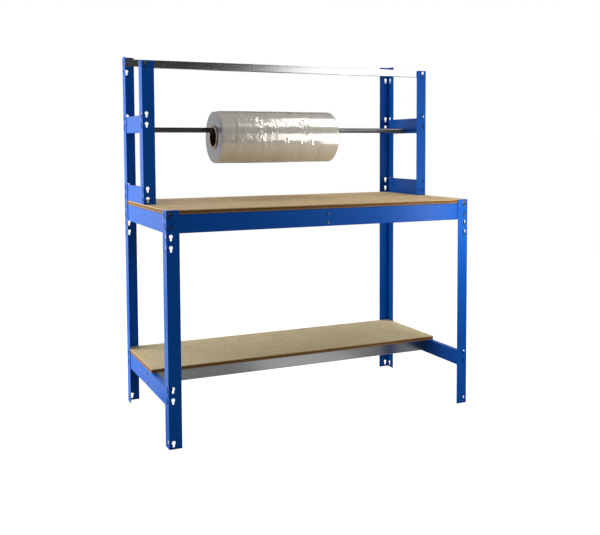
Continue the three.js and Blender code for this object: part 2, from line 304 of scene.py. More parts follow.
edgeLook = {
    "rim": "#b08f63", "heart": "#60421f", "foot": "#80603a", "chip": 4, "wander": mm(1.2), "bump": 0.5,
    "bumpDepth": mm(0.5), "roughness": 0.85,
    "layers": ((0.25, "foot"), (0.4, "heart"), (0.72, "heart"), (0.86, "rim")),  # from the underside up
}


def boardEdge(name, top, thickness):
    # the sawn edge: fine dense faces above and below a darker, coarser heart; the top band's extra paleness
    # over the foot is a painted highlight
    look = edgeLook
    material, tree, shader, place = newMaterial(name)
    parts = addNode(tree, "ShaderNodeSeparateXYZ", {}, {0: place})
    chips = addNode(tree, "ShaderNodeTexNoise", {"Scale": perMetre(look["chip"]), "Detail": 3.0},
                    {"Vector": place})
    wander = addNode(tree, "ShaderNodeMapRange", {"To Min": -look["wander"], "To Max": look["wander"]},
                     {"Value": chips.outputs[0]})
    height = addNode(tree, "ShaderNodeMath", {"operation": "ADD"},
                     {0: parts.outputs[2], 1: wander.outputs[0]})
    share = addNode(tree, "ShaderNodeMapRange", {"From Min": top - thickness, "From Max": top},
                    {"Value": height.outputs[0]})
    ramp = addNode(tree, "ShaderNodeValToRGB", {}, {0: share.outputs[0]})
    ramp.color_ramp.elements[0].color = srgb(look["foot"])
    ramp.color_ramp.elements[1].color = srgb(look["rim"])
    for position, tone in look["layers"]:
        ramp.color_ramp.elements.new(position).color = srgb(look[tone])
    bump = addNode(tree, "ShaderNodeBump", {"Strength": look["bump"], "Distance": look["bumpDepth"]},
                   {"Height": chips.outputs[0]})
    feedShader(tree, shader, {"Base Color": ramp.outputs[0], "Normal": bump.outputs[0]})
    setShader(shader, roughness=look["roughness"], ior=1.45, specular=0.25)
    return material


rodLook = {
    "dark": "#434345", "light": "#666668", "line": 2, "lineSquash": 0.02, "patch": 1000 / 18, "bump": 0.15,
    "bumpDepth": mm(0.1), "roughness": (0.26, 0.38), "metallic": 0.7,
}


def rodSteel():
    # drawn steel bar with its dark, oiled scale left on: fine lines along its length, a narrow bright streak
    look = rodLook
    low, high = look["roughness"]
    material, tree, shader, place = newMaterial("oiledDrawnSteel")
    drawn = addNode(tree, "ShaderNodeMapping", {"Scale": (look["lineSquash"], 1.0, 1.0)}, {"Vector": place})
    # the draw lines are really under half a millimetre; they are drawn at 2 mm so that they show
    lines = addNode(tree, "ShaderNodeTexNoise", {"Scale": perMetre(look["line"]), "Detail": 3.0},
                    {"Vector": drawn.outputs[0]})
    patches = addNode(tree, "ShaderNodeTexNoise", {"Scale": perMetre(look["patch"]), "Detail": 3.0},
                      {"Vector": place})
    tone = addNode(tree, "ShaderNodeMix", {"data_type": "FLOAT", 0: 0.5},
                   {2: lines.outputs[0], 3: patches.outputs[0]})
    shades = {"data_type": "RGBA", 6: srgb(look["dark"]), 7: srgb(look["light"])}
    colour = addNode(tree, "ShaderNodeMix", shades, {0: tone.outputs[0]})
    shine = addNode(tree, "ShaderNodeMapRange", {"To Min": low, "To Max": high}, {"Value": tone.outputs[0]})
    bump = addNode(tree, "ShaderNodeBump", {"Strength": look["bump"], "Distance": look["bumpDepth"]},
                   {"Height": lines.outputs[0]})
    feedShader(tree, shader, {"Base Color": colour.outputs[2], "Roughness": shine.outputs[0],
                              "Normal": bump.outputs[0]})
    setShader(shader, metallic=look["metallic"])
    return material


def radialPlace(tree, place, centre):
    # cylinder coordinates about the roll's axis: distance along it, angle and radius
    parts = addNode(tree, "ShaderNodeSeparateXYZ", {}, {0: place})
    across = addNode(tree, "ShaderNodeMath", {"operation": "SUBTRACT", 1: centre.y}, {0: parts.outputs[1]})
    up = addNode(tree, "ShaderNodeMath", {"operation": "SUBTRACT", 1: centre.z}, {0: parts.outputs[2]})
    angle = addNode(tree, "ShaderNodeMath", {"operation": "ARCTAN2"},
                    {0: up.outputs[0], 1: across.outputs[0]})
    flat = addNode(tree, "ShaderNodeCombineXYZ", {}, {0: across.outputs[0], 1: up.outputs[0]})
    radius = addNode(tree, "ShaderNodeVectorMath", {"operation": "LENGTH"}, {0: flat.outputs[0]})
    return parts.outputs[0], angle.outputs[0], radius.outputs["Value"]


# in coreLook the bore colour and the radii where it ends are painted shade inside the tube
coreLook = {
    "light": "#a08c80", "dark": "#6f5d52", "rim": "#5a3a2a", "bore": "#2b2a25", "ply": 0.6, "plyShare": 0.2,
    "fibre": 1000 / 220, "seamTurn": 12.6, "seamWidth": 0.12, "boreShadeEdge": (mm(38.2), mm(38.8)), "bump": 0.4,
    "bumpDepth": mm(0.3), "roughness": 0.8,
}


def coreBoard(centre):
    # spiral-wound paperboard tube: grey-brown paper with a helical seam and thin plies at the cut ends
    look = coreLook
    boreFrom, boreTo = look["boreShadeEdge"]
    material, tree, shader, place = newMaterial("woundPaperboard")
    along, angle, radius = radialPlace(tree, place, centre)
    # the seam turns 12.6 radians in a metre, which is once in half a metre
    helix = addNode(tree, "ShaderNodeMath", {"operation": "MULTIPLY", 1: look["seamTurn"]}, {0: along})
    wound = addNode(tree, "ShaderNodeMath", {"operation": "ADD"}, {0: helix.outputs[0], 1: angle})
    seam = addNode(tree, "ShaderNodeMath", {"operation": "PINGPONG", 1: math.pi}, {0: wound.outputs[0]})
    seamLine = addNode(tree, "ShaderNodeMapRange", {"From Max": look["seamWidth"]},
                       {"Value": seam.outputs[0]})
    plies = addNode(tree, "ShaderNodeMath", {"operation": "MULTIPLY", 1: perMetre(look["ply"]) * math.pi},
                    {0: radius})
    ply = addNode(tree, "ShaderNodeMath", {"operation": "SINE"}, {0: plies.outputs[0]})
    fibre = addNode(tree, "ShaderNodeTexNoise", {"Scale": perMetre(look["fibre"]), "Detail": 4.0},
                    {"Vector": place})
    tone = addNode(tree, "ShaderNodeMath", {"operation": "MULTIPLY_ADD", 1: look["plyShare"]},
                   {0: ply.outputs[0], 2: fibre.outputs[0]})
    shades = {"data_type": "RGBA", 6: srgb(look["dark"]), 7: srgb(look["light"])}
    colour = addNode(tree, "ShaderNodeMix", shades, {0: tone.outputs[0]})
    lined = addNode(tree, "ShaderNodeMix", {"data_type": "RGBA", 6: srgb(look["rim"])},
                    {0: seamLine.outputs[0], 7: colour.outputs[2]})
    # painted shade: the bore sees little light, and it is drawn near black for that shade
    boreShadeMask = addNode(tree, "ShaderNodeMapRange", {"From Min": boreFrom, "From Max": boreTo},
                     {"Value": radius})
    boreShaded = addNode(tree, "ShaderNodeMix", {"data_type": "RGBA", 6: srgb(look["bore"])},
                    {0: boreShadeMask.outputs[0], 7: lined.outputs[2]})
    bump = addNode(tree, "ShaderNodeBump", {"Strength": look["bump"], "Distance": look["bumpDepth"]},
                   {"Height": seamLine.outputs[0]})
    feedShader(tree, shader, {"Base Color": boreShaded.outputs[2], "Normal": bump.outputs[0]})
    setShader(shader, roughness=look["roughness"], ior=1.45, specular=0.3)
    return material


filmLook = {
    "light": "#e6e3da", "dark": "#c2bbae", "band": 30, "bandTurn": 0.006, "edge": 1000 / 30,
    "edgeWander": mm(16), "fadeIn": (0, mm(30)), "fadeOut": (mm(18), mm(4)),
    "creaseTilt": (0, 0.5, 0.7), "creaseSquash": (1.0, 1.0, 0.45), "crease": 14,
    "patch": 1000 / 22, "patchRange": (0.5, 0.66), "creaseBump": 0.9, "creaseDepth": mm(4),
    "bandBump": 0.15, "bandDepth": mm(0.3),
}


def stretchFilm(centre, looseFrom, looseTo):
    # clear stretch film, blown and wound tight: many layers look silvery grey, with sharp mirror bands;
    # the last turns lie loose over the middle and break the bands into crinkles
    look = filmLook
    material, tree, shader, place = newMaterial("woundStretchFilm")
    along, angle, _ = radialPlace(tree, place, centre)
    turned = addNode(tree, "ShaderNodeMath", {"operation": "MULTIPLY", 1: look["bandTurn"]}, {0: angle})
    wrap = addNode(tree, "ShaderNodeCombineXYZ", {}, {0: along, 1: turned.outputs[0]})
    bands = addNode(tree, "ShaderNodeTexNoise", {"Scale": perMetre(look["band"]), "Detail": 5.0},
                    {"Vector": wrap.outputs[0]})
    shades = {"data_type": "RGBA", 6: srgb(look["dark"]), 7: srgb(look["light"])}
    colour = addNode(tree, "ShaderNodeMix", shades, {0: bands.outputs[0]})
    # the loose turns' two edges wander, and the crinkles fade out towards them
    edge = addNode(tree, "ShaderNodeTexNoise", {"Scale": perMetre(look["edge"]), "Detail": 2.0},
                   {"Vector": place})
    wander = addNode(tree, "ShaderNodeMath", {"operation": "MULTIPLY_ADD", 1: look["edgeWander"]},
                     {0: edge.outputs[0], 2: along})
    inFrom, inTo = (looseFrom + step for step in look["fadeIn"])
    outFrom, outTo = (looseTo + step for step in look["fadeOut"])
    start = addNode(tree, "ShaderNodeMapRange", {"From Min": inFrom, "From Max": inTo},
                    {"Value": wander.outputs[0]})
    end = addNode(tree, "ShaderNodeMapRange", {"From Min": outFrom, "From Max": outTo},
                  {"Value": wander.outputs[0]})
    loose = addNode(tree, "ShaderNodeMath", {"operation": "MULTIPLY"},
                    {0: start.outputs[0], 1: end.outputs[0]})
    twisted = addNode(tree, "ShaderNodeMapping",
                      {"Rotation": look["creaseTilt"], "Scale": look["creaseSquash"]}, {"Vector": place})
    creases = addNode(tree, "ShaderNodeTexVoronoi",
                      {"feature": "DISTANCE_TO_EDGE", "Scale": perMetre(look["crease"])},
                      {"Vector": twisted.outputs[0]})
    patches = addNode(tree, "ShaderNodeTexNoise", {"Scale": perMetre(look["patch"]), "Detail": 2.0},
                      {"Vector": place})
    patchFrom, patchTo = look["patchRange"]
    patchy = addNode(tree, "ShaderNodeMapRange", {"From Min": patchFrom, "From Max": patchTo},
                     {"Value": patches.outputs[0]})
    rough = addNode(tree, "ShaderNodeMath", {"operation": "MULTIPLY"},
                    {0: loose.outputs[0], 1: patchy.outputs[0]})
    lift = addNode(tree, "ShaderNodeMath", {"operation": "MULTIPLY"},
                   {0: creases.outputs[0], 1: rough.outputs[0]})
    bump = addNode(tree, "ShaderNodeBump", {"Strength": look["creaseBump"], "Distance": look["creaseDepth"]},
                   {"Height": lift.outputs[0]})
    fine = addNode(tree, "ShaderNodeBump", {"Strength": look["bandBump"], "Distance": look["bandDepth"]},
                   {"Height": bands.outputs[0], "Normal": bump.outputs[0]})
    feedShader(tree, shader, {"Base Color": colour.outputs[2], "Normal": fine.outputs[0],
                              "Coat Normal": fine.outputs[0]})
    setShader(shader, metallic=0.3, roughness=0.18, ior=1.6, coat=1.0, coatRoughness=0.03)
    return material


# endLook's coreJointShade is painted shade: a near-black ring where the film's end meets the core
endLook = {
    "light": "#545157", "dark": "#36343a", "coreJointShade": "#1d0a06", "fineRing": 1000 / 420,
    "wideRing": 1000 / 70, "ringTurn": 0.002, "coreJointShadeEdge": (mm(51), mm(56)), "bump": 0.3,
    "bumpDepth": mm(0.4), "roughness": 0.35,
}


def filmEnd(centre):
    # the roll's end: thousands of film edges, lilac-grey and half clear; next to the core a near-black ring
    # is painted shade of the joint
    look = endLook
    jointShadeFrom, jointShadeTo = look["coreJointShadeEdge"]
    material, tree, shader, place = newMaterial("stretchFilmEdges")
    _, angle, radius = radialPlace(tree, place, centre)
    turned = addNode(tree, "ShaderNodeMath", {"operation": "MULTIPLY", 1: look["ringTurn"]}, {0: angle})
    rings = addNode(tree, "ShaderNodeCombineXYZ", {}, {0: radius, 1: turned.outputs[0]})
    # one layer is some 0.02 mm thick; the rings are drawn about 2 and 14 mm wide so that they show
    fine = addNode(tree, "ShaderNodeTexNoise", {"Scale": perMetre(look["fineRing"]), "Detail": 4.0},
                   {"Vector": rings.outputs[0]})
    wide = addNode(tree, "ShaderNodeTexNoise", {"Scale": perMetre(look["wideRing"]), "Detail": 2.0},
                   {"Vector": rings.outputs[0]})
    tone = addNode(tree, "ShaderNodeMix", {"data_type": "FLOAT", 0: 0.5},
                   {2: fine.outputs[0], 3: wide.outputs[0]})
    shades = {"data_type": "RGBA", 6: srgb(look["dark"]), 7: srgb(look["light"])}
    colour = addNode(tree, "ShaderNodeMix", shades, {0: tone.outputs[0]})
    # painted shade: the film's end darkens to near black next to the core
    coreJointShadeMask = addNode(tree, "ShaderNodeMapRange", {"From Min": jointShadeFrom, "From Max": jointShadeTo},
                   {"Value": radius})
    coreJointShaded = addNode(tree, "ShaderNodeMix", {"data_type": "RGBA", 6: srgb(look["coreJointShade"])},
                      {0: coreJointShadeMask.outputs[0], 7: colour.outputs[2]})
    bump = addNode(tree, "ShaderNodeBump", {"Strength": look["bump"], "Distance": look["bumpDepth"]},
                   {"Height": tone.outputs[0]})
    feedShader(tree, shader, {"Base Color": coreJointShaded.outputs[2], "Normal": bump.outputs[0]})
    setShader(shader, roughness=look["roughness"], ior=1.5)
    return material


# painted shade: the studs' dark navy stands in for the shade on and around their heads
studShadeLook = {"base": "#0a2a63", "worn": "#22355f", "wear": 3, "roughness": (0.35, 0.5), "metallic": 0.4}
screwLook = {
    "base": "#56657c", "worn": "#8390a6", "wear": 1000 / 900, "roughness": (0.22, 0.38), "metallic": 1.0,
}


def fastenerMetal(name, look):
    # a cold-headed fastener's metal, rubbed paler in small patches
    low, high = look["roughness"]
    material, tree, shader, place = newMaterial(name)
    rubbed = addNode(tree, "ShaderNodeTexNoise", {"Scale": perMetre(look["wear"]), "Detail": 3.0},
                     {"Vector": place})
    shades = {"data_type": "RGBA", 6: srgb(look["base"]), 7: srgb(look["worn"])}
    colour = addNode(tree, "ShaderNodeMix", shades, {0: rubbed.outputs[0]})
    shine = addNode(tree, "ShaderNodeMapRange", {"To Min": low, "To Max": high}, {"Value": rubbed.outputs[0]})
    feedShader(tree, shader, {"Base Color": colour.outputs[2], "Roughness": shine.outputs[0]})
    setShader(shader, metallic=look["metallic"])
    return material


blue = powderCoat()
studShadedSteel = fastenerMetal("rivetSteelPaintedShade", studShadeLook)  # painted shade: the stud heads are drawn dark navy, darker than the coat around them, for the shade that shows them as dark dots; a dull sheen
screwZinc = fastenerMetal("bluePassivatedZincScrew", screwLook)  # a darker, bluer shine than the zinc sheet
zincAlongX = zincPlate("galvanisedSheetAlongX", 0)
zincAlongY = zincPlate("galvanisedSheetAlongY", 1)
print("metal finishes made")


sheetMetal = {
    "postSheet": mm(1.8), "postBend": mm(3), "postEndRadius": mm(6), "beamSheet": mm(1.5), "beamBend": mm(3),
    "foldSegments": 6, "holeSegments": 20, "edgeEase": mm(0.25), "clearance": mm(0.3),
}
keyhole = {
    "inset": mm(16), "headRadius": mm(6.5), "slotHalfWidth": mm(3.5), "drop": mm(12), "slotSegments": 24,
    "headSegments": 32, "footSeat": mm(10.5),
}
stud = {
    "shankRadius": mm(3.25), "headRadius": mm(5.5), "headHeight": mm(2), "segments": 20, "dome": 0.6,
    "domeSegments": 3, "pitch": mm(38.1),
}
standOff = sheetMetal["postSheet"] + sheetMetal["clearance"]
studReach = standOff + sheetMetal["clearance"] + stud["headHeight"]
lieDown = Matrix.Rotation(math.pi / 2, 4, "X")  # turns a round bar from upright to front-to-back
sameSpot = mm(0.01)  # points nearer than this are on the same line or plane


def foldStrip(name, line, length, sheet, bends, start=None):
    # line is the strip's outer face, (inward, up) at each fold; it is drawn along X and gets its wall inwards
    bm = bmesh.new()
    left = -length / 2 if start is None else start
    row = [bm.verts.new((left, y, z)) for y, z in line]
    edges = [bm.edges.new(pair) for pair in zip(row, row[1:])]
    grown = bmesh.ops.extrude_edge_only(bm, edges=edges)["geom"]
    bmesh.ops.translate(bm, vec=(length, 0, 0), verts=[v for v in grown if isinstance(v, bmesh.types.BMVert)])
    bmesh.ops.recalc_face_normals(bm, faces=bm.faces)
    inside = (Vector((0, *line[0])) + Vector((0, *line[-1]))) / 2
    widest = max(bm.faces, key=lambda face: face.calc_area())
    towards = inside - Vector((0, *widest.calc_center_median().yz))
    if widest.normal.dot(towards) > 0:
        bmesh.ops.reverse_faces(bm, faces=bm.faces)
    for (y, z), bend in zip(line[1:-1], bends):
        fold = [e for e in bm.edges if all((v.co.yz - Vector((y, z))).length < sameSpot for v in e.verts)]
        roundEdges(bm, fold, bend, sheetMetal["foldSegments"])
    bmesh.ops.solidify(bm, geom=bm.faces[:], thickness=sheet)
    bmesh.ops.recalc_face_normals(bm, faces=bm.faces)
    return newObject(name, bm)


def roundBar(bm, radius, matrix, depth, segments):
    made = bmesh.ops.create_cone(bm, cap_ends=True, segments=segments, radius1=radius, radius2=radius,
                                 depth=depth)
    half = Matrix.Rotation(math.pi / segments, 4, "Z")
    bmesh.ops.transform(bm, matrix=matrix @ half, verts=made["verts"])
    return made["verts"]


def keyholeCutters(seats, acrossFlanges):
    # two cutters for all the keyholes: the slots, each a bar stretched from seat to head, and the round heads
    slots, heads = bmesh.new(), bmesh.new()
    depth = sheetMetal["postSheet"] * 3
    for seat in seats:
        for toFlange in acrossFlanges:
            seatPlace = toFlange @ Matrix.Translation((seat, keyhole["inset"], sheetMetal["postSheet"] / 2))
            slot = roundBar(slots, keyhole["slotHalfWidth"], Matrix.Identity(4), depth,
                            keyhole["slotSegments"])
            upper = [v for v in slot if v.co.x > 0]
            bmesh.ops.translate(slots, vec=(keyhole["drop"], 0, 0), verts=upper)
            bmesh.ops.transform(slots, matrix=seatPlace, verts=slot)
            headPlace = seatPlace @ Matrix.Translation((keyhole["drop"], 0, 0))
            roundBar(heads, keyhole["headRadius"], headPlace, depth, keyhole["headSegments"])
    return slots, heads


def anglePost(node, sideways, backward, seats):
    # an angle with its outer corner at the bench's corner; sideways and backward are -1 or 1, into the bench
    lo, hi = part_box(node)
    flange, height = (hi - lo).x, (hi - lo).z
    line, sheet, bend = [(flange, 0), (0, 0), (0, flange)], sheetMetal["postSheet"], sheetMetal["postBend"]
    post = foldStrip(node + "_steel", line, height, sheet, [bend], start=0)

    def roundTops(bm):
        tops = [e for e in bm.edges if all(abs(v.co.x - height) < sameSpot for v in e.verts)
                and all(max(v.co.y, v.co.z) > flange - sameSpot for v in e.verts)]
        roundEdges(bm, tops, sheetMetal["postEndRadius"], sheetMetal["foldSegments"])
    reshape(post, roundTops)
    otherFlange = Matrix(((1, 0, 0, 0), (0, 0, 1, 0), (0, 1, 0, 0), (0, 0, 0, 1)))
    cutWith(post, keyholeCutters([seat - lo.z for seat in seats], (Matrix.Identity(4), otherFlange)))
    easeEdges(post, sheetMetal["edgeEase"])
    corner = Vector((lo.x if sideways > 0 else hi.x, lo.y if backward > 0 else hi.y, lo.z))
    placeObject(post, Matrix(((0, sideways, 0, corner.x), (0, 0, backward, corner.y), (1, 0, 0, corner.z),
                              (0, 0, 0, 1))))
    finishPiece(post, node, "powder_coat", blue)


def studSet(places):
    # rivet studs with low domed heads, pointing out along -Y from a beam's web; a shank ends inside its head
    bm = bmesh.new()
    headMiddle = stud["headHeight"] / 2 - studReach
    shankRoot = sheetMetal["beamSheet"] / 2
    shankMiddle = (headMiddle + shankRoot) / 2
    for x, z in places:
        roundBar(bm, stud["shankRadius"], Matrix.Translation((x, shankMiddle, z)) @ lieDown,
                 shankRoot - headMiddle, stud["segments"])
        head = roundBar(bm, stud["headRadius"], Matrix.Translation((x, headMiddle, z)) @ lieDown,
                        stud["headHeight"], stud["segments"])
        rim = [e for e in bm.edges if all(v in head and v.co.y < headMiddle for v in e.verts)]
        roundEdges(bm, rim, stud["headHeight"] * stud["dome"], stud["domeSegments"])
    bmesh.ops.recalc_face_normals(bm, faces=bm.faces)
    return newObject("studs", bm)


turns = {"front": 0, "right": 1, "back": 2, "left": 3}


def wallMatrix(node, side, reach, level=0):
    # puts a piece drawn along X, outer face on Y = 0, against one side of its node's box;
    # level 0 stands it on the box's foot, and 0.5 centres it
    lo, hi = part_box(node)
    middle = (lo + hi) / 2
    face = {"front": (middle.x, lo.y + reach), "back": (middle.x, hi.y - reach),
            "left": (lo.x + reach, middle.y), "right": (hi.x - reach, middle.y)}[side]
    height = lo.z + (hi.z - lo.z) * level
    return Matrix.Translation((*face, height)) @ Matrix.Rotation(turns[side] * math.pi / 2, 4, "Z")


def drillHoles(obj, places, radius, sheet):
    holes = bmesh.new()
    for x, z in places:
        middle = Matrix.Translation((x, sheet / 2, z))
        roundBar(holes, radius, middle @ lieDown, sheet * 3, sheetMetal["holeSegments"])
    cutWith(obj, [holes])


def boxes(corners):
    # a bmesh of boxes, each given by its two corners
    bm = bmesh.new()
    for low, high in corners:
        made = bmesh.ops.create_cube(bm, size=1)
        size = Vector(high) - Vector(low)
        middle = (Vector(high) + Vector(low)) / 2
        place = Matrix.Translation(middle) @ Matrix.Diagonal((*size, 1))
        bmesh.ops.transform(bm, matrix=place, verts=made["verts"])
    return bm


def stretchOf(node, side):
    lo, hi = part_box(node)
    return (hi - lo).x if side in ("front", "back") else (hi - lo).y


beamShape = {
    "height": mm(64), "ledge": mm(21), "hem": mm(6), "studFromHem": mm(17), "endGap": mm(5), "cope": mm(22),
    "copePast": mm(40), "screwFromHem": mm(13), "screwPitch": mm(32), "screwHole": mm(2.8),
}


def finishBeam(beam, node, side, studHeights, material, slot, length):
    easeEdges(beam, sheetMetal["edgeEase"])
    across = length / 2 + beamShape["endGap"] - keyhole["inset"]
    studs = studSet([(sign * across, z) for sign in (-1, 1) for z in studHeights])
    for face in studs.data.polygons:
        face.material_index = 1  # the studs' material, drawn dark as painted shade
    joinMeshes(beam, studs)
    placeObject(beam, wallMatrix(node, side, studReach))
    finishPiece(beam, node, slot, material, studShadedSteel)


def ledgeBeam(node, side, coped, screwsAt):
    # C-section: a wide ledge on top carries the board, a narrow hem stiffens the bottom
    lo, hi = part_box(node)
    height, length = (hi - lo).z, stretchOf(node, side)
    sheet, bend = sheetMetal["beamSheet"], sheetMetal["beamBend"]
    line = [(beamShape["hem"], 0), (0, 0), (0, height), (beamShape["ledge"], height)]
    beam = foldStrip(node + "_steel", line, length, sheet, [bend, bend])
    if coped:
        reach, past = beamShape["cope"], beamShape["copePast"]
        corners = [((end - reach, sheet, -sheet), (end + reach, past, height + sheet))
                   for end in (-length / 2, length / 2)]
        cutWith(beam, [boxes(corners)])
    heights = (beamShape["screwFromHem"], beamShape["screwFromHem"] + beamShape["screwPitch"])
    drillHoles(beam, [(screwsAt, z) for z in heights], beamShape["screwHole"], sheet)
    low = beamShape["studFromHem"]
    finishBeam(beam, node, side, (low, low + stud["pitch"]), blue, "powder_coat", length)


def lowBrace(node, side):
    # the same section turned over, so its ledge sits on the worktop
    lo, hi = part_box(node)
    height, length, bend = (hi - lo).z, stretchOf(node, side), sheetMetal["beamBend"]
    line = [(beamShape["hem"], height), (0, height), (0, 0), (beamShape["ledge"], 0)]
    brace = foldStrip(node + "_steel", line, length, sheetMetal["beamSheet"], [bend, bend])
    low = height - beamShape["studFromHem"] - stud["pitch"]
    finishBeam(brace, node, side, (low, low + stud["pitch"]), blue, "powder_coat", length)


rodBraceShape = {
    "lip": mm(9), "hemDrop": mm(8), "hemWidth": mm(3.2), "hemBend": mm(1.55), "studFromLedge": mm(19.5),
    "notchSlack": mm(0.3), "notchInside": mm(5), "notchPast": mm(1),
}


def rodBrace(node, side):
    # the rod lies on the bottom ledge, in a notch in its turned-up lip; the top edge is folded flat
    lo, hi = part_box(node)
    height, length, bend = (hi - lo).z, stretchOf(node, side), sheetMetal["beamBend"]
    sheet, ledge, shape = sheetMetal["beamSheet"], beamShape["ledge"], rodBraceShape
    line = [(shape["hemWidth"], height - shape["hemDrop"]), (shape["hemWidth"], height), (0, height), (0, 0),
            (ledge, 0), (ledge, shape["lip"])]
    brace = foldStrip(node + "_steel", line, length, sheet, [shape["hemBend"], shape["hemBend"], bend, bend])
    rodLow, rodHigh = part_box("roll_rod")
    half = (rodHigh - rodLow).z / 2 + shape["notchSlack"]
    past = shape["notchPast"]
    notch = ((-half, ledge - shape["notchInside"], sheet), (half, ledge + past, shape["lip"] + past))
    cutWith(brace, [boxes([notch])])
    low = shape["studFromLedge"]
    finishBeam(brace, node, side, (low, low + stud["pitch"]), blue, "powder_coat", length)


railShape = {"flange": mm(15), "studHeight": mm(7), "holeX": mm(529), "holeRadius": mm(2.5)}


def topRail(node, side):
    lo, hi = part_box(node)
    height, length, bend = (hi - lo).z, stretchOf(node, side), sheetMetal["beamBend"]
    line = [(railShape["flange"], 0), (0, 0), (0, height), (railShape["flange"], height)]
    rail = foldStrip(node + "_steel", line, length, sheetMetal["beamSheet"], [bend, bend])
    holes = [(sign * railShape["holeX"], height / 2) for sign in (-1, 1)]
    drillHoles(rail, holes, railShape["holeRadius"], sheetMetal["beamSheet"])
    finishBeam(rail, node, side, (railShape["studHeight"],), zincAlongX, "zinc_plate", length)


memberShape = {"tabHeight": mm(50), "tabWidth": mm(26)}


def crossMember(node, side, material):
    # plated C-section with a bent tab at each end, held by two screws
    lo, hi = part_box(node)
    height, length = (hi - lo).z, stretchOf(node, side)
    sheet, bend, cope = sheetMetal["beamSheet"], sheetMetal["beamBend"], beamShape["cope"]
    tabWidth, tabHeight, ends = memberShape["tabWidth"], memberShape["tabHeight"], (-length / 2, length / 2)
    line = [(beamShape["hem"], 0), (0, 0), (0, height), (beamShape["ledge"], height)]
    member = foldStrip(node + "_steel", line, length, sheet, [bend, bend])
    cuts = [((end - cope, -sheet, height - bend), (end + cope, beamShape["copePast"], height + sheet))
            for end in ends]
    cutWith(member, [boxes(cuts)])
    tabs = [((end if end < 0 else end - sheet, sheet / 2, bend),
             (end + sheet if end < 0 else end, tabWidth, tabHeight)) for end in ends]
    tabPiece = newObject("tabs", boxes(tabs))
    holes = bmesh.new()
    firstHole = beamShape["screwFromHem"] - (beamShape["height"] - height)
    for end in ends:
        for z in (firstHole, firstHole + beamShape["screwPitch"]):
            place = Matrix.Translation((end, tabWidth / 2, z)) @ Matrix.Rotation(math.pi / 2, 4, "Y")
            roundBar(holes, beamShape["screwHole"], place, sheet * 4, sheetMetal["holeSegments"])
    cutWith(tabPiece, [holes])
    easeEdges(member, sheetMetal["edgeEase"])
    joinMeshes(member, tabPiece)
    placeObject(member, wallMatrix(node, side, 0))
    finishPiece(member, node, "zinc_plate", material)


def pairAt(low):
    return [low, low + stud["pitch"]]


# seat heights come from the beams' own places, as on the real posts
tableSeats = pairAt(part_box("table_front_beam")[0].z + beamShape["studFromHem"])
shelfSeats = pairAt(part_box("shelf_back_beam")[0].z + beamShape["studFromHem"])
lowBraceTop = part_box("upper_left_low_brace")[1].z
lowBraceSeats = pairAt(lowBraceTop - beamShape["studFromHem"] - stud["pitch"])
rodBraceSeats = pairAt(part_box("upper_left_rod_brace")[0].z + rodBraceShape["studFromLedge"])
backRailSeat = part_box("top_back_rail")[0].z + railShape["studHeight"]
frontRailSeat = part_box("top_front_rail")[0].z + railShape["studHeight"]
spareSeats = [seat - 2 * stud["pitch"] for seat in tableSeats]
legSeats = [keyhole["footSeat"]] + shelfSeats + spareSeats + tableSeats
braceSeats = lowBraceSeats + rodBraceSeats
backPostSeats = legSeats + braceSeats + [backRailSeat - stud["pitch"], backRailSeat]

for side, sideways in (("left", 1), ("right", -1)):
    anglePost(f"front_{side}_leg", sideways, 1, legSeats)
    anglePost(f"back_{side}_post", sideways, -1, backPostSeats)
    anglePost(f"upper_{side}_post", sideways, 1, braceSeats + [frontRailSeat])
print("posts made")

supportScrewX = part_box("table_centre_support")[0].x + memberShape["tabWidth"] / 2
ledgeBeam("table_front_beam", "front", False, supportScrewX)
ledgeBeam("table_back_beam", "back", False, -supportScrewX)
ledgeBeam("shelf_back_beam", "back", False, 0)
for side in ("left", "right"):
    ledgeBeam(f"table_{side}_beam", side, True, 0)
    ledgeBeam(f"shelf_{side}_beam", side, True, 0)
    lowBrace(f"upper_{side}_low_brace", side)
    rodBrace(f"upper_{side}_rod_brace", side)
topRail("top_front_rail", "front")
topRail("top_back_rail", "back")
crossMember("table_centre_support", "left", zincAlongY)
crossMember("shelf_cross_member", "front", zincAlongX)
print("beams, braces and rails made")


screwShape = {
    "headRadius": mm(4.6), "headHeight": mm(2.4), "headSegments": 24, "dome": 0.6, "domeSegments": 4,
    "shankRadius": mm(2.5), "shankSegments": 16, "length": mm(12), "tip": mm(0.6), "recess": mm(0.9),
    "recessDepth": mm(1.2), "recessReach": 0.6,
}


def panScrew(node, side):
    # pan head with a cross recess, over a plain shank
    bm = bmesh.new()
    shape, gap, past = screwShape, sheetMetal["clearance"], mm(1)
    headMiddle, top = -gap - shape["headHeight"] / 2, -gap - shape["headHeight"]
    head = roundBar(bm, shape["headRadius"], Matrix.Translation((0, headMiddle, 0)) @ lieDown,
                    shape["headHeight"], shape["headSegments"])
    rim = [e for e in bm.edges if all(v in head and v.co.y < headMiddle for v in e.verts)]
    roundEdges(bm, rim, shape["headHeight"] * shape["dome"], shape["domeSegments"])
    obj = newObject(node + "_pan", bm)
    wide, thin = shape["headRadius"] * shape["recessReach"], shape["recess"] / 2
    deep = top + shape["recessDepth"]
    cutWith(obj, [boxes([((-wide, top - past, -thin), (wide, deep, thin))]),
                  boxes([((-thin, top - past, -wide), (thin, deep, wide))])])
    shank = bmesh.new()
    end = shape["length"]
    tip = roundBar(shank, shape["shankRadius"], Matrix.Translation((0, (headMiddle + end) / 2, 0)) @ lieDown,
                   end - headMiddle, shape["shankSegments"])
    point = [e for e in shank.edges if all(v in tip and v.co.y > end - sameSpot for v in e.verts)]
    roundEdges(shank, point, shape["tip"], 2)
    joinMeshes(obj, newObject("shank", shank))
    placeObject(obj, wallMatrix(node, side, gap + shape["headHeight"], 0.5))
    finishPiece(obj, node, "screw", screwZinc)


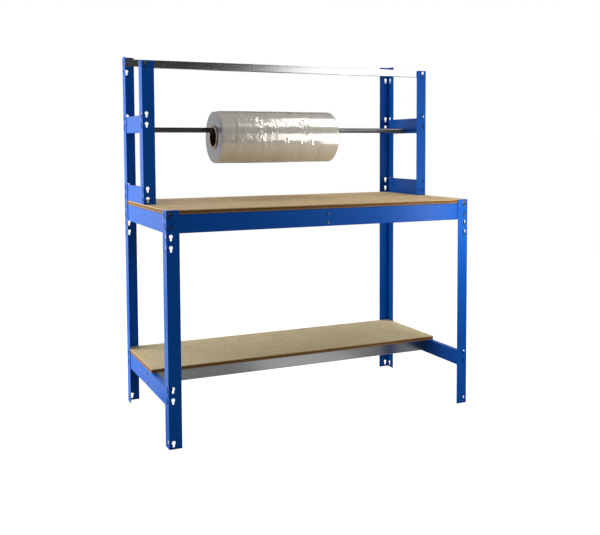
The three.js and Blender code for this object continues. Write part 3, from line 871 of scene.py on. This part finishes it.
for level in ("lower", "upper"):
    for side in ("front", "back"):
        panScrew(f"support_screw_{side}_{level}", side)
    for side in ("left", "right"):
        panScrew(f"shelf_screw_{side}_{level}", side)
print("screws made")


boardShape = {"cornerRadius": mm(3), "cornerSegments": 4, "arris": mm(0.8), "arrisSegments": 2}
steep = 0.9  # a direction counts as upright when its Z is over this


def board(node, tint):
    # a sawn board with small round corners; faces and edges have their own finish
    lo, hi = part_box(node)
    bm = boxes([(lo, hi)])
    upright = [e for e in bm.edges if abs((e.verts[0].co - e.verts[1].co).normalized().z) > steep]
    roundEdges(bm, upright, boardShape["cornerRadius"], boardShape["cornerSegments"])
    rims = [e for e in bm.edges if len({round(v.co.z, 5) for v in e.verts}) == 1
            and any(abs(f.normal.z) > steep for f in e.link_faces)]
    roundEdges(bm, rims, boardShape["arris"], boardShape["arrisSegments"])
    for face in bm.faces:
        face.material_index = 0 if abs(face.normal.z) > steep else 1
    obj = newObject(node + "_sawn", bm)
    evenShading(obj)
    finishPiece(obj, node, "board", boardFace(node + "_face", tint),
                boardEdge(node + "_edge", hi.z, (hi - lo).z))


board("table_board", tableTint)
board("shelf_board", shelfTintPaintedLight)
print("boards made")


rodShape = {"segments": 48, "rim": mm(1.5)}


def rollRod():
    lo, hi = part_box("roll_rod")
    middle, radius = (lo + hi) / 2, (hi - lo).z / 2
    bm = bmesh.new()
    turned = Matrix.Translation(middle) @ Matrix.Rotation(math.pi / 2, 4, "Y")
    roundBar(bm, radius, turned, (hi - lo).x, rodShape["segments"])
    rims = [e for e in bm.edges if any(len(f.verts) > 4 for f in e.link_faces)]
    roundEdges(bm, rims, rodShape["rim"], 2)
    obj = newObject("roll_rod_bar", bm)
    evenShading(obj)
    finishPiece(obj, "roll_rod", "rod", rodSteel())


def spunTube(innerRadius, outerRadius, lo, hi, cuts, steps):
    # a tube about the roll's axis: a rectangle, subdivided and spun a full turn
    axis = (lo + hi) / 2
    bm = bmesh.new()
    corners = [(lo.x, innerRadius), (lo.x, outerRadius), (hi.x, outerRadius), (hi.x, innerRadius)]
    row = [bm.verts.new((x, axis.y, axis.z + radius)) for x, radius in corners]
    edges = [bm.edges.new((row[i], row[(i + 1) % 4])) for i in range(4)]
    for edge, count in zip(edges, cuts):
        bmesh.ops.subdivide_edges(bm, edges=[edge], cuts=count)
    bmesh.ops.spin(bm, geom=bm.verts[:] + bm.edges[:], cent=axis, axis=(1, 0, 0), angle=2 * math.pi,
                   steps=steps, use_merge=True)
    bmesh.ops.remove_doubles(bm, verts=bm.verts, dist=mm(0.005))
    bmesh.ops.recalc_face_normals(bm, faces=bm.faces)
    return bm, axis


# cuts are the subdivisions of a tube's left end, outside, right end and bore
coreShape = {"inner": mm(38), "outer": mm(46), "rim": mm(0.6), "cuts": (3, 20, 3, 20), "steps": 96}
filmShape = {
    "inner": mm(46.3), "band": mm(0.35), "wave": mm(0.3), "wrap": mm(0.5), "crease": mm(0.32),
    "telescope": mm(1.3), "edgeRound": mm(8), "edgeDrop": mm(1.75), "endInset": mm(3), "looseFrom": mm(58),
    "looseTo": mm(394), "looseStep": mm(3), "looseWander": mm(9), "cuts": (26, 200, 26, 6), "steps": 300,
}
# how often each unevenness repeats: per metre of the roll, and per radian for the two around values
filmRhythm = {
    "band": 38, "wave": 22, "patch": 17, "crinkle": (95, 70, 95), "crinkleSlant": 60, "layer": 260,
    "looseAround": 3, "waveAround": 1.6,
}
# how sharply patches begin, and how high and deep the crinkles in them go, as shares of the crease height
filmFold = {"onset": 3, "top": 0.6, "depth": 2}


def filmCore():
    lo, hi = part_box("film_core")
    bm, axis = spunTube(coreShape["inner"], coreShape["outer"], lo, hi, coreShape["cuts"], coreShape["steps"])
    rims = [e for e in bm.edges if len(e.link_faces) == 2 and e.calc_face_angle(0) > 1]
    roundEdges(bm, rims, coreShape["rim"], 2)
    obj = newObject("film_core_tube", bm)
    finishPiece(obj, "film_core", "core", coreBoard(axis))


def clamp(value):
    return min(max(value, 0), 1)


def filmLift(point, left, outward):
    # how far the outer turn stands up: bands along the roll, slow waves, and the loose crinkled wrap;
    # the fixed coordinates only give each pattern its own part of the noise
    shape, rhythm = filmShape, filmRhythm
    around = outward * rhythm["looseAround"]
    at = point.x - left + shape["looseWander"] * noise.noise(Vector((5, around.y, around.z)))
    begun = clamp((at - shape["looseFrom"]) / shape["looseStep"])
    unended = clamp((shape["looseTo"] - at) / shape["looseStep"])
    band = noise.noise(Vector((point.x * rhythm["band"], 0, 3)))
    slow = outward * rhythm["waveAround"]
    wave = noise.noise(Vector((point.x * rhythm["wave"], slow.y, slow.z)))
    patch = noise.noise(point * rhythm["patch"] + Vector((0, 0, 4)))
    often = rhythm["crinkle"]
    slant = point.z * rhythm["crinkleSlant"]
    crinkle = abs(noise.noise(Vector((point.x * often[0] + slant, point.y * often[1], point.z * often[2]))))
    folded = clamp(patch * filmFold["onset"]) * (filmFold["top"] - filmFold["depth"] * crinkle)
    loose = begun * unended * (shape["wrap"] + shape["crease"] * folded)
    return shape["band"] * band + shape["wave"] * wave + loose


def filmRoll():
    # wound film: a softly uneven outside that rounds off at both ends, and layers slid a little at the ends
    lo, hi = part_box("film_roll")
    shape = filmShape
    outer, nearly = (hi - lo).z / 2, mm(0.1)
    room = shape["band"] + shape["wave"] + shape["wrap"] + shape["crease"]
    bm, axis = spunTube(shape["inner"], outer - room, lo, hi, shape["cuts"], shape["steps"])
    for vert in bm.verts:
        arm = Vector((0, vert.co.y - axis.y, vert.co.z - axis.z))
        radius, fromEnd = arm.length, min(vert.co.x - lo.x, hi.x - vert.co.x)
        if radius > outer - room - nearly:
            outward = arm.normalized()
            ease = max(0, 1 - fromEnd / shape["edgeRound"]) ** 2 * shape["edgeDrop"]
            vert.co += outward * (filmLift(vert.co, lo.x, outward) - ease)
        if fromEnd < nearly and radius > shape["inner"] + nearly:
            inwards = 1 if vert.co.x < axis.x else -1
            slid = 0.5 + 0.5 * noise.noise(Vector((radius * filmRhythm["layer"], inwards, 7)))
            vert.co.x += inwards * slid * shape["telescope"]
    bm.normal_update()
    for face in bm.faces:
        middle = face.calc_center_median()
        radius = math.hypot(middle.y - axis.y, middle.z - axis.z)
        onEnd = abs(face.normal.x) > 0.5 and radius < outer - shape["endInset"]
        face.material_index = 1 if onEnd else 0
    obj = newObject("film_roll_wound", bm, 50)
    skin = stretchFilm(axis, lo.x + shape["looseFrom"], lo.x + shape["looseTo"])
    finishPiece(obj, "film_roll", "film", skin, filmEnd(axis))


rollRod()
filmCore()
filmRoll()
print("rod, core and film made")


studio = {
    "floorSize": 60, "floorDrop": mm(0.5), "floor": "#606060", "floorGlow": 1.0, "sky": "#f2f5fa",
    "skyStrength": 0.03, "backdrop": 1.0, "camera": (-1.3486, -2.9842, 1.0321), "yaw": 24.666, "pitch": 3.519,
    "roll": -0.267, "lens": 49.57, "shiftY": -0.12,
}
white = (1, 1, 1, 1)


def makeFloor():
    bm = bmesh.new()
    bmesh.ops.create_grid(bm, x_segments=1, y_segments=1, size=studio["floorSize"] / 2)
    floor = newObject("floor", bm)
    material, _, shader, _ = newMaterial("paleStudioFloor")
    shader.inputs["Base Color"].default_value = srgb(studio["floor"])
    shader.inputs["Emission Color"].default_value = white
    shader.inputs["Emission Strength"].default_value = studio["floorGlow"]
    setShader(shader, roughness=0.9, specular=0.1)
    floor.data.materials.append(material)
    floor.location.z = -studio["floorDrop"]
    floor.visible_diffuse = False
    floor.visible_glossy = False


def makeSky():
    # the camera sees a white backdrop, and everything else a faint cool sky
    world = bpy.data.worlds.new("studioSky")
    bpy.context.scene.world = world
    world.use_nodes = True
    tree = world.node_tree
    tree.nodes.clear()
    seen = addNode(tree, "ShaderNodeBackground", {"Color": white, "Strength": studio["backdrop"]})
    lit = addNode(tree, "ShaderNodeBackground",
                  {"Color": srgb(studio["sky"]), "Strength": studio["skyStrength"]})
    path = addNode(tree, "ShaderNodeLightPath")
    mix = addNode(tree, "ShaderNodeMixShader", {},
                  {0: path.outputs["Is Camera Ray"], 1: lit.outputs[0], 2: seen.outputs[0]})
    addNode(tree, "ShaderNodeOutputWorld", {}, {0: mix.outputs[0]})


def softbox(name, place, target, size, power, inReflections=True):
    data = bpy.data.lights.new(name, "AREA")
    data.shape = "RECTANGLE"
    data.size, data.size_y = size
    data.energy = power
    lamp = bpy.data.objects.new(name, data)
    lamp.location = place
    lamp.rotation_euler = (Vector(target) - Vector(place)).to_track_quat("-Z", "Y").to_euler()
    lamp.visible_camera = False
    lamp.visible_glossy = inReflections
    bpy.context.scene.collection.objects.link(lamp)


def makeCamera():
    data = bpy.data.cameras.new("camera")
    data.lens = studio["lens"]
    data.sensor_width = 36
    data.shift_y = studio["shiftY"]
    data.clip_start, data.clip_end = 0.1, 100
    camera = bpy.data.objects.new("camera", data)
    camera.location = studio["camera"]
    yaw, pitch, roll = (math.radians(studio[key]) for key in ("yaw", "pitch", "roll"))
    turn = Matrix.Rotation(-yaw, 4, "Z") @ Matrix.Rotation(math.pi / 2 - pitch, 4, "X")
    camera.rotation_euler = (turn @ Matrix.Rotation(roll, 4, "Z")).to_euler()
    bpy.context.scene.collection.objects.link(camera)
    bpy.context.scene.camera = camera


makeFloor()
makeSky()
# each softbox: where it hangs, what it faces, its width and height, and its power
softbox("leftSide", (-1.75, 0.5, 0.66), (-0.6, 0.1, 0.66), (1.5, 1.8), 56)  # pale sheen on the left faces
softbox("frontRight", (1.45, -2.05, 1.05), (0.35, 0, 1.05), (1.2, 1.25), 16.5)  # bright rail, lower film band
softbox("rightSide", (2.6, -1.0, 1.0), (0.5, -0.1, 0.8), (1.2, 1.8), 24)
softbox("aboveFront", (1.25, -0.55, 2.6), (1.15, -0.55, 0), (1.3, 1.25), 30)  # upper film band
softbox("aboveBack", (-0.2, 0.9, 2.9), (-0.1, 0.2, 0), (3.2, 2.0), 38, inReflections=False)  # the boards
softbox("backdrop", (-1.4, 4.0, 1.5), (-0.4, 0, 0.9), (5.5, 3.4), 86)
softbox("frontLeft", (-0.75, -2.4, 1.0), (-0.4, 0, 0.9), (1.0, 1.8), 1.8)  # a faint fill
softbox("backRight", (3.2, 3.4, 0.9), (0, 0, 0.9), (3.4, 2.8), 26)
softbox("floorLeft", (-1.0, 0.9, 0.004), (-1.0, 0.9, 1), (0.8, 1.2), 2)  # floor glow in low glossy faces
softbox("floorFront", (0.28, -0.62, 0.004), (0.28, -0.62, 1), (0.5, 0.6), 0.45)
softbox("floorBounce", (0, 0, 0.003), (0, 0, 1), (4.5, 4.5), 19)  # light off the white floor
softbox("cornerGlint", (0.67, -0.66, 0.78), (0.43, -0.3, 0.78), (0.08, 0.3), 2.4)  # front beam's pale end
makeCamera()
bpy.context.scene.view_settings.view_transform = "Standard"
print("studio made")
